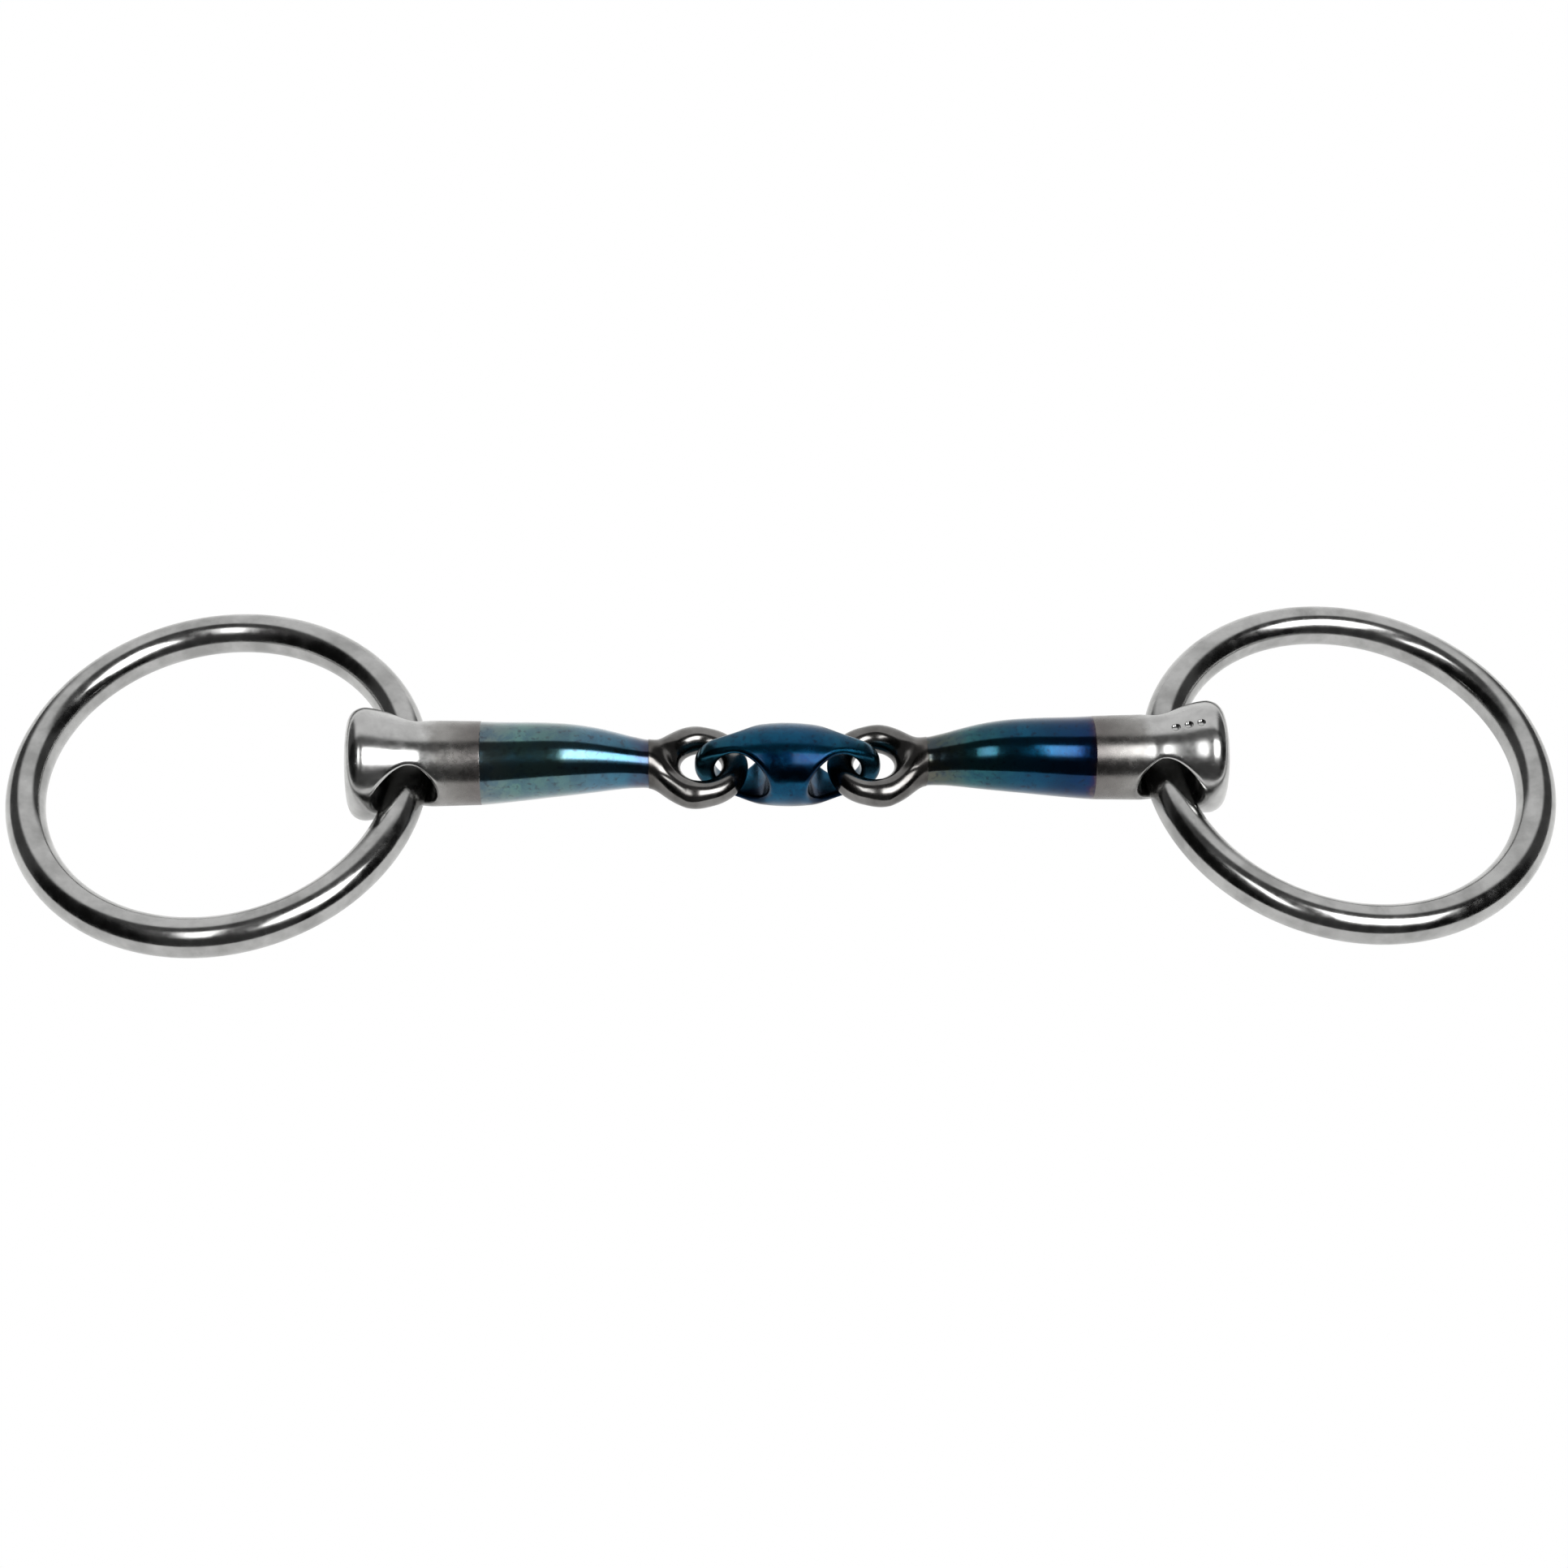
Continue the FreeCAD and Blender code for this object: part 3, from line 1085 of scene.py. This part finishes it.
@dataclass(frozen=True)
class Studio:
    """A pale floor, a studio of light all round, a soft key light and the camera.

    Seen from the bit, a pale wall stands behind it, a bright row of two soft boxes hangs over it, a
    little to the front, and the rest of the room is dark, so polished metal shows crisp bands.
    """

    floor_size: float = 12.0
    floor_colour: str = "#a8a8a7"
    floor_glow: float = 0.66
    seen_sky: float = 1.0
    box_light: float = 9.0
    # Light by the angle over the bit, from the front horizon at 0 to the back horizon at 180 degrees
    wall: tuple[tuple[float, float], ...] = (
        (0, 0.055),
        (44, 0.065),
        (88, 0.09),
        (110, 0.10),
        (116, 1.05),
        (180, 1.05),
    )
    boxes: tuple[tuple[float, float], ...] = (
        (40, 0.0),
        (50, 0.08),
        (58, 0.9),
        (66, 1.0),
        (80, 0.9),
        (87, 0.0),
        (180, 0.0),
    )
    # Share of the soft boxes by how far a direction leans to the side: x over its distance from X's line
    sides: tuple[tuple[float, float], ...] = (
        (-1.5, 0.0),
        (-0.38, 0.0),
        (-0.32, 0.7),
        (-0.24, 0.7),
        (-0.18, 0.0),
        (0.09, 0.0),
        (0.14, 1.0),
        (0.7, 1.0),
        (0.8, 0.0),
        (1.5, 0.0),
    )
    # Share of the pale wall by the same lean
    wall_sides: tuple[tuple[float, float], ...] = (
        (-1.5, 0.09),
        (-0.72, 0.09),
        (-0.5, 1.0),
        (0.5, 1.0),
        (0.72, 0.09),
        (1.5, 0.09),
    )
    key_height: float = 1.6
    key_size: float = 1.2
    key_energy: float = 10.0
    camera_azimuth: float = -3.445
    camera_elevation: float = 52.14
    camera_roll: float = 2.19
    camera_distance: float = 0.54384
    camera_target: tuple[float, float, float] = (-0.00082, -0.0053, 0.010)
    camera_lens: float = 70.97

    def build(self) -> None:
        """Makes the whole stage."""
        self.build_floor()
        self.build_key()
        self.build_sky()
        self.build_camera()

    def build_floor(self) -> None:
        """The floor: a large plain sheet at the height that the bit rests on.

        The metal mirrors its pale top. It is clear from below and to the camera, over a room as pale as
        itself, so that an arm or ring folded down past it still shows.
        """
        half = self.floor_size / 2
        mesh = bpy.data.meshes.new("floor")
        corners = [(-half, -half, 0), (half, -half, 0), (half, half, 0), (-half, half, 0)]
        mesh.from_pydata(corners, [], [(0, 1, 2, 3)])
        floor = bpy.data.objects.new("floor", mesh)
        bpy.context.scene.collection.objects.link(floor)
        material, tree, shader = new_material("matt opal light table")
        here = add_node(tree, "ShaderNodeTexCoord").outputs["Object"]
        fibres = add_node(tree, NOISE, {"Vector": here, "Scale": per_metre(1.5), "Detail": 3.0}).outputs["Fac"]
        ends = {"Value": fibres, "From Min": 0.3, "From Max": 0.7, "To Min": 0.85, "To Max": 0.95}
        shader.inputs["Base Color"].default_value = linear(self.floor_colour)
        shader.inputs["Specular IOR Level"].default_value = 0.1
        shader.inputs["Emission Color"].default_value = (1.0, 1.0, 1.0, 1.0)
        shader.inputs["Emission Strength"].default_value = self.floor_glow
        tree.links.new(add_node(tree, RANGE, ends).outputs["Result"], shader.inputs["Roughness"])
        below = add_node(tree, "ShaderNodeNewGeometry").outputs["Backfacing"]
        clear = add_node(tree, "ShaderNodeBsdfTransparent").outputs["BSDF"]
        sheet = add_node(tree, "ShaderNodeMixShader", {0: below, 1: shader.outputs["BSDF"], 2: clear})
        tree.links.new(sheet.outputs[0], tree.get_output_node("ALL").inputs["Surface"])
        floor.visible_camera = False
        floor.data.materials.append(material)

    def build_key(self) -> None:
        """A large soft light high over the bit, for a faint shadow; polished metal doesn't mirror it."""
        light = bpy.data.lights.new("key", "AREA")
        light.size = self.key_size
        light.energy = self.key_energy
        lamp = bpy.data.objects.new("key", light)
        lamp.location = (0.0, 0.0, self.key_height)
        lamp.visible_glossy = False
        bpy.context.scene.collection.objects.link(lamp)

    def build_sky(self) -> None:
        """The room's light as a world; plain pale to the camera."""
        world = bpy.data.worlds.new("studio")
        world.use_nodes = True
        bpy.context.scene.world = world
        tree = world.node_tree
        tree.nodes.clear()
        place = add_node(tree, "ShaderNodeTexCoord").outputs["Generated"]
        split = add_node(tree, SPLIT, {"Vector": place}).outputs
        known = {"x": split["X"], "y": split["Y"], "z": split["Z"]}
        known["to camera"] = add_node(tree, "ShaderNodeLightPath").outputs["Is Camera Ray"]
        # Each step's name, its arithmetic, and the earlier steps or numbers that it works on
        where = (
            ("forward", "MULTIPLY", "y", -1.0),
            ("turn", "ARCTAN2", "z", "forward"),
            ("angle", "DEGREES", "turn"),
            ("z squared", "POWER", "z", 2.0),
            ("forward squared", "POWER", "forward", 2.0),
            ("sum", "ADD", "z squared", "forward squared"),
            ("across", "SQRT", "sum"),
            ("at least", "MAXIMUM", "across", 0.001),
            ("lean", "DIVIDE", "x", "at least"),
        )
        how_bright = (
            ("wall", "MULTIPLY", "wall by angle", "wall by lean"),
            ("boxes", "MULTIPLY", "boxes by angle", "boxes by lean"),
            ("boxes lit", "MULTIPLY", "boxes", self.box_light),
            ("level", "ADD", "wall", "boxes lit"),
            ("hidden", "SUBTRACT", 1.0, "to camera"),
            ("lit", "MULTIPLY", "level", "hidden"),
            ("seen", "MULTIPLY", "to camera", self.seen_sky),
            ("shown", "ADD", "lit", "seen"),
        )
        for steps in (where, how_bright):
            for name, how, *inputs in steps:
                values = {i: known.get(value, value) for i, value in enumerate(inputs)}
                known[name] = add_node(tree, MATH, values, operation=how).outputs[0]
            if steps is where:
                for name, source, levels in (
                    ("wall by angle", "angle", self.wall),
                    ("wall by lean", "lean", self.wall_sides),
                    ("boxes by angle", "angle", self.boxes),
                    ("boxes by lean", "lean", self.sides),
                ):
                    known[name] = graded(tree, known[source], [(at, grey(level)) for at, level in levels])
        white = {"Color": grey(1.0), "Strength": known["shown"]}
        sky = add_node(tree, "ShaderNodeBackground", white)
        add_node(tree, "ShaderNodeOutputWorld", {"Surface": sky.outputs["Background"]})

    def build_camera(self) -> None:
        """The camera, aimed at its target from its azimuth and elevation, and rolled."""
        azimuth, elevation = math.radians(self.camera_azimuth), math.radians(self.camera_elevation)
        back = Vector(
            (
                math.sin(azimuth) * math.cos(elevation),
                -math.cos(azimuth) * math.cos(elevation),
                math.sin(elevation),
            )
        )
        data = bpy.data.cameras.new("camera")
        data.lens = self.camera_lens
        data.sensor_width = 36.0
        data.clip_start = 0.01
        data.clip_end = 50.0
        camera = bpy.data.objects.new("camera", data)
        camera.location = Vector(self.camera_target) + back * self.camera_distance
        camera.rotation_mode = "QUATERNION"
        roll = Quaternion((0.0, 0.0, 1.0), math.radians(self.camera_roll))
        camera.rotation_quaternion = (-back).to_track_quat("-Z", "Y") @ roll
        bpy.context.scene.collection.objects.link(camera)
        bpy.context.scene.camera = camera


# ---------------------------------------------------------------- the whole bit


def place_piece(piece: Piece, node: str, body: str, finish: bpy.types.Material) -> None:
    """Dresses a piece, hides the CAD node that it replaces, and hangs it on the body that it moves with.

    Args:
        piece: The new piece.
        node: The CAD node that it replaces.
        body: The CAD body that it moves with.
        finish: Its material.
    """
    piece.data.materials.append(finish)
    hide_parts(node)
    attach(piece, body)
    log.info("%s: %d faces", piece.name, len(piece.data.polygons))


def main() -> None:
    """Builds every piece, dresses it, and sets up the floor, light and camera."""
    logging.basicConfig(level=logging.INFO, format="%(message)s")
    bpy.context.scene.view_settings.view_transform = "Standard"
    ring_steel = PolishedSteel("polished stainless wire").material()
    barrel_steel = PolishedSteel(
        "polished stainless, stained by brazing",
        light="#b8b8b7",
        dark="#a2a2a1",
        haze=0.19,
        wave_depth_mm=0.018,
        scratch_depth_mm=0.002,
        stain=((54.0, "#a39e9d", 0.05), (58.0, "#b1aeac", 0.06), (61.5, "#cbc9c7", 0.04), (64.0, "#ffffff", 0.0)),
    ).material()
    eye_steel = PolishedSteel(
        "stainless forging, stained by brazing",
        light="#7d7c7b",
        dark="#5c5b5a",
        haze=0.14,
        stain=((8.0, "#ffffff", 0.0), (19.0, "#f6f5f4", 0.02), (24.6, "#c4c1bf", 0.06)),
    ).material()
    sleeve_irons = {
        Side.LEFT: FlameBluedIron(
            "sweet iron blued grey and teal",
            film=(
                (24.6, "#14173a"),
                (26.3, "#0c3557"),
                (29.0, "#0e5c76"),
                (34.0, "#2b6178"),
                (40.0, "#426a6c"),
                (47.0, "#487472"),
                (54.0, "#5b6a6c"),
            ),
            mottle="#1d4c66",
            mottle_share=0.55,
            clear=1.0,
        ).material(),
        Side.RIGHT: FlameBluedIron(
            "sweet iron blued deep",
            film=(
                (24.6, "#585850"),
                (28.0, "#46524c"),
                (32.0, "#27595f"),
                (41.0, "#07455f"),
                (49.5, "#032d52"),
                (52.4, "#0c2a52"),
                (53.4, "#2a2548"),
                (54.0, "#4a3c46"),
            ),
            mottle="#0b3350",
            mottle_share=0.4,
            clear=0.2,
        ).material(),
    }
    link_iron = FlameBluedIron(
        "sweet iron blued dark",
        film=((-16.5, "#1d4c5a"), (-6.0, "#0a4c68"), (4.0, "#0b4464"), (16.5, "#174f60")),
        mottle="#0a3350",
        mottle_share=0.5,
        clear=0.1,
        haze=0.19,
        signed=True,
        # across: painted shade, a darker violet band on the link's front from y -5.9 to -3.0 mm that dims its
        # highlight there
        across=(
            (-7.4, "#ffffff"),
            (-6.6, "#ffffff"),
            (-5.9, "#9a7f90"),
            (-4.2, "#7c7088"),
            (-3.0, "#7c80a0"),
            (-2.0, "#ffffff"),
            (7.4, "#ffffff"),
        ),
    ).material()
    for side in Side:
        arm = Arm(side)
        word = side.word
        place_piece(LooseRing(side).build(), f"{word}_ring", f"{word}_ring", ring_steel)
        place_piece(arm.build_barrel(), f"{word}_barrel", f"{word}_arm", barrel_steel)
        place_piece(arm.build_sleeve(), f"{word}_sleeve", f"{word}_arm", sleeve_irons[side])
        place_piece(arm.build_eye(), f"{word}_eye", f"{word}_arm", eye_steel)
    place_piece(LozengeLink().build(), "lozenge_link", "lozenge", link_iron)
    Studio().build()


if __name__ == "__main__":
    main()
